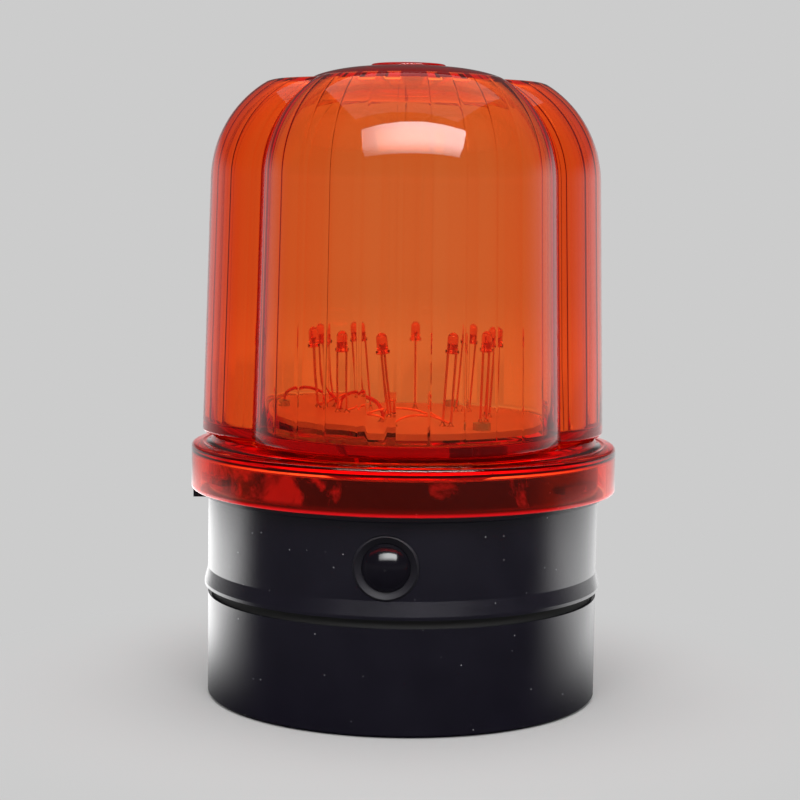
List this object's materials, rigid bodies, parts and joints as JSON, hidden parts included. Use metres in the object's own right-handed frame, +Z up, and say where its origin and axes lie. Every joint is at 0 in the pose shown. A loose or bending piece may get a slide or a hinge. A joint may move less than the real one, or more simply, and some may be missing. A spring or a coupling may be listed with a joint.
{
  "type": "battery warning beacon",
  "caption": "Free-standing battery warning beacon: clear red-orange lobed lens over a ring of LEDs, black two-part round base with a push button and a magnetic foot.",
  "frame": {"origin": "centre of the foot, on the surface that the beacon stands on", "axes": "+Z up along the lens axis, -Y towards the push button"},
  "size_m": [0.1104, 0.1104, 0.1644],
  "materials": {
    "lens": "clear red-orange polycarbonate, polished outside, fluted inside",
    "base_plastic": "black moulded plastic, semi-gloss with a fine grain",
    "bezel_plastic": "black moulded plastic, semi-gloss",
    "button_rubber": "glossy black rubber",
    "seal_rubber": "matt black rubber",
    "switch_plastic": "matt black plastic",
    "plunger_plastic": "white acetal",
    "sheet_steel": "plated sheet steel",
    "screw_steel": "zinc plated",
    "board": "tan paper laminate with a varnished face",
    "led_epoxy": "clear tinted epoxy",
    "lead_wire": "tinned steel wire",
    "chip": "black moulding compound",
    "capacitor_sleeve": "shrunk plastic sleeve",
    "resistor_body": "lacquered ceramic",
    "wire_red": "red insulation",
    "wire_black": "black insulation",
    "tray_plastic": "black moulded plastic",
    "cell_can": null,
    "magnet_ferrite": "sintered ferrite, dark grey"
  },
  "bodies": {
    "cup": {"battery_cup": "base_plastic", "magnet": "magnet_ferrite", "magnet_plate": "sheet_steel", "magnet_screw": "screw_steel"},
    "housing": {"switch_housing": "base_plastic", "lens_gasket": "seal_rubber", "lens_catch": "base_plastic", "button_bezel": "bezel_plastic", "switch_body": "switch_plastic", "switch_bracket": "sheet_steel", "bracket_screws": "screw_steel", "circuit_board": "board", "board_screws": "screw_steel", "led_1": "led_epoxy", "led_2": "led_epoxy", "led_3": "led_epoxy", "led_4": "led_epoxy", "led_5": "led_epoxy", "led_6": "led_epoxy", "led_7": "led_epoxy", "led_8": "led_epoxy", "led_9": "led_epoxy", "led_10": "led_epoxy", "led_leads": "lead_wire", "flasher_chip": "chip", "timing_capacitor": "capacitor_sleeve", "resistors": "resistor_body", "transistors": "chip", "supply_wire": "wire_red", "switched_wire": "wire_red", "return_wire": "wire_black", "battery_tray": "tray_plastic", "tray_screws": "screw_steel", "front_cell": "cell_can", "rear_cell": "cell_can", "contact_plates": "sheet_steel", "contact_link": "sheet_steel", "contact_springs": "sheet_steel", "cup_seal": "seal_rubber"},
    "lens": {"lens": "lens"},
    "button": {"button_cap": "button_rubber", "switch_plunger": "plunger_plastic"}
  },
  "joints": [
    {"name": "cup_twist", "type": "hinge", "parent": "cup", "child": "housing", "pos_m": [0, 0, 0.0265], "axis": [0, 0, 1], "range_deg": [0, 25]},
    {"name": "lens_twist", "type": "hinge", "parent": "housing", "child": "lens", "pos_m": [0, 0, 0.06], "axis": [0, 0, 1], "range_deg": [0, 25]},
    {"name": "button_press", "type": "slide", "parent": "housing", "child": "button", "axis": [0, 1, 0], "range_m": [0, 0.0015], "stiffness_N_per_m": 800}
  ]
}
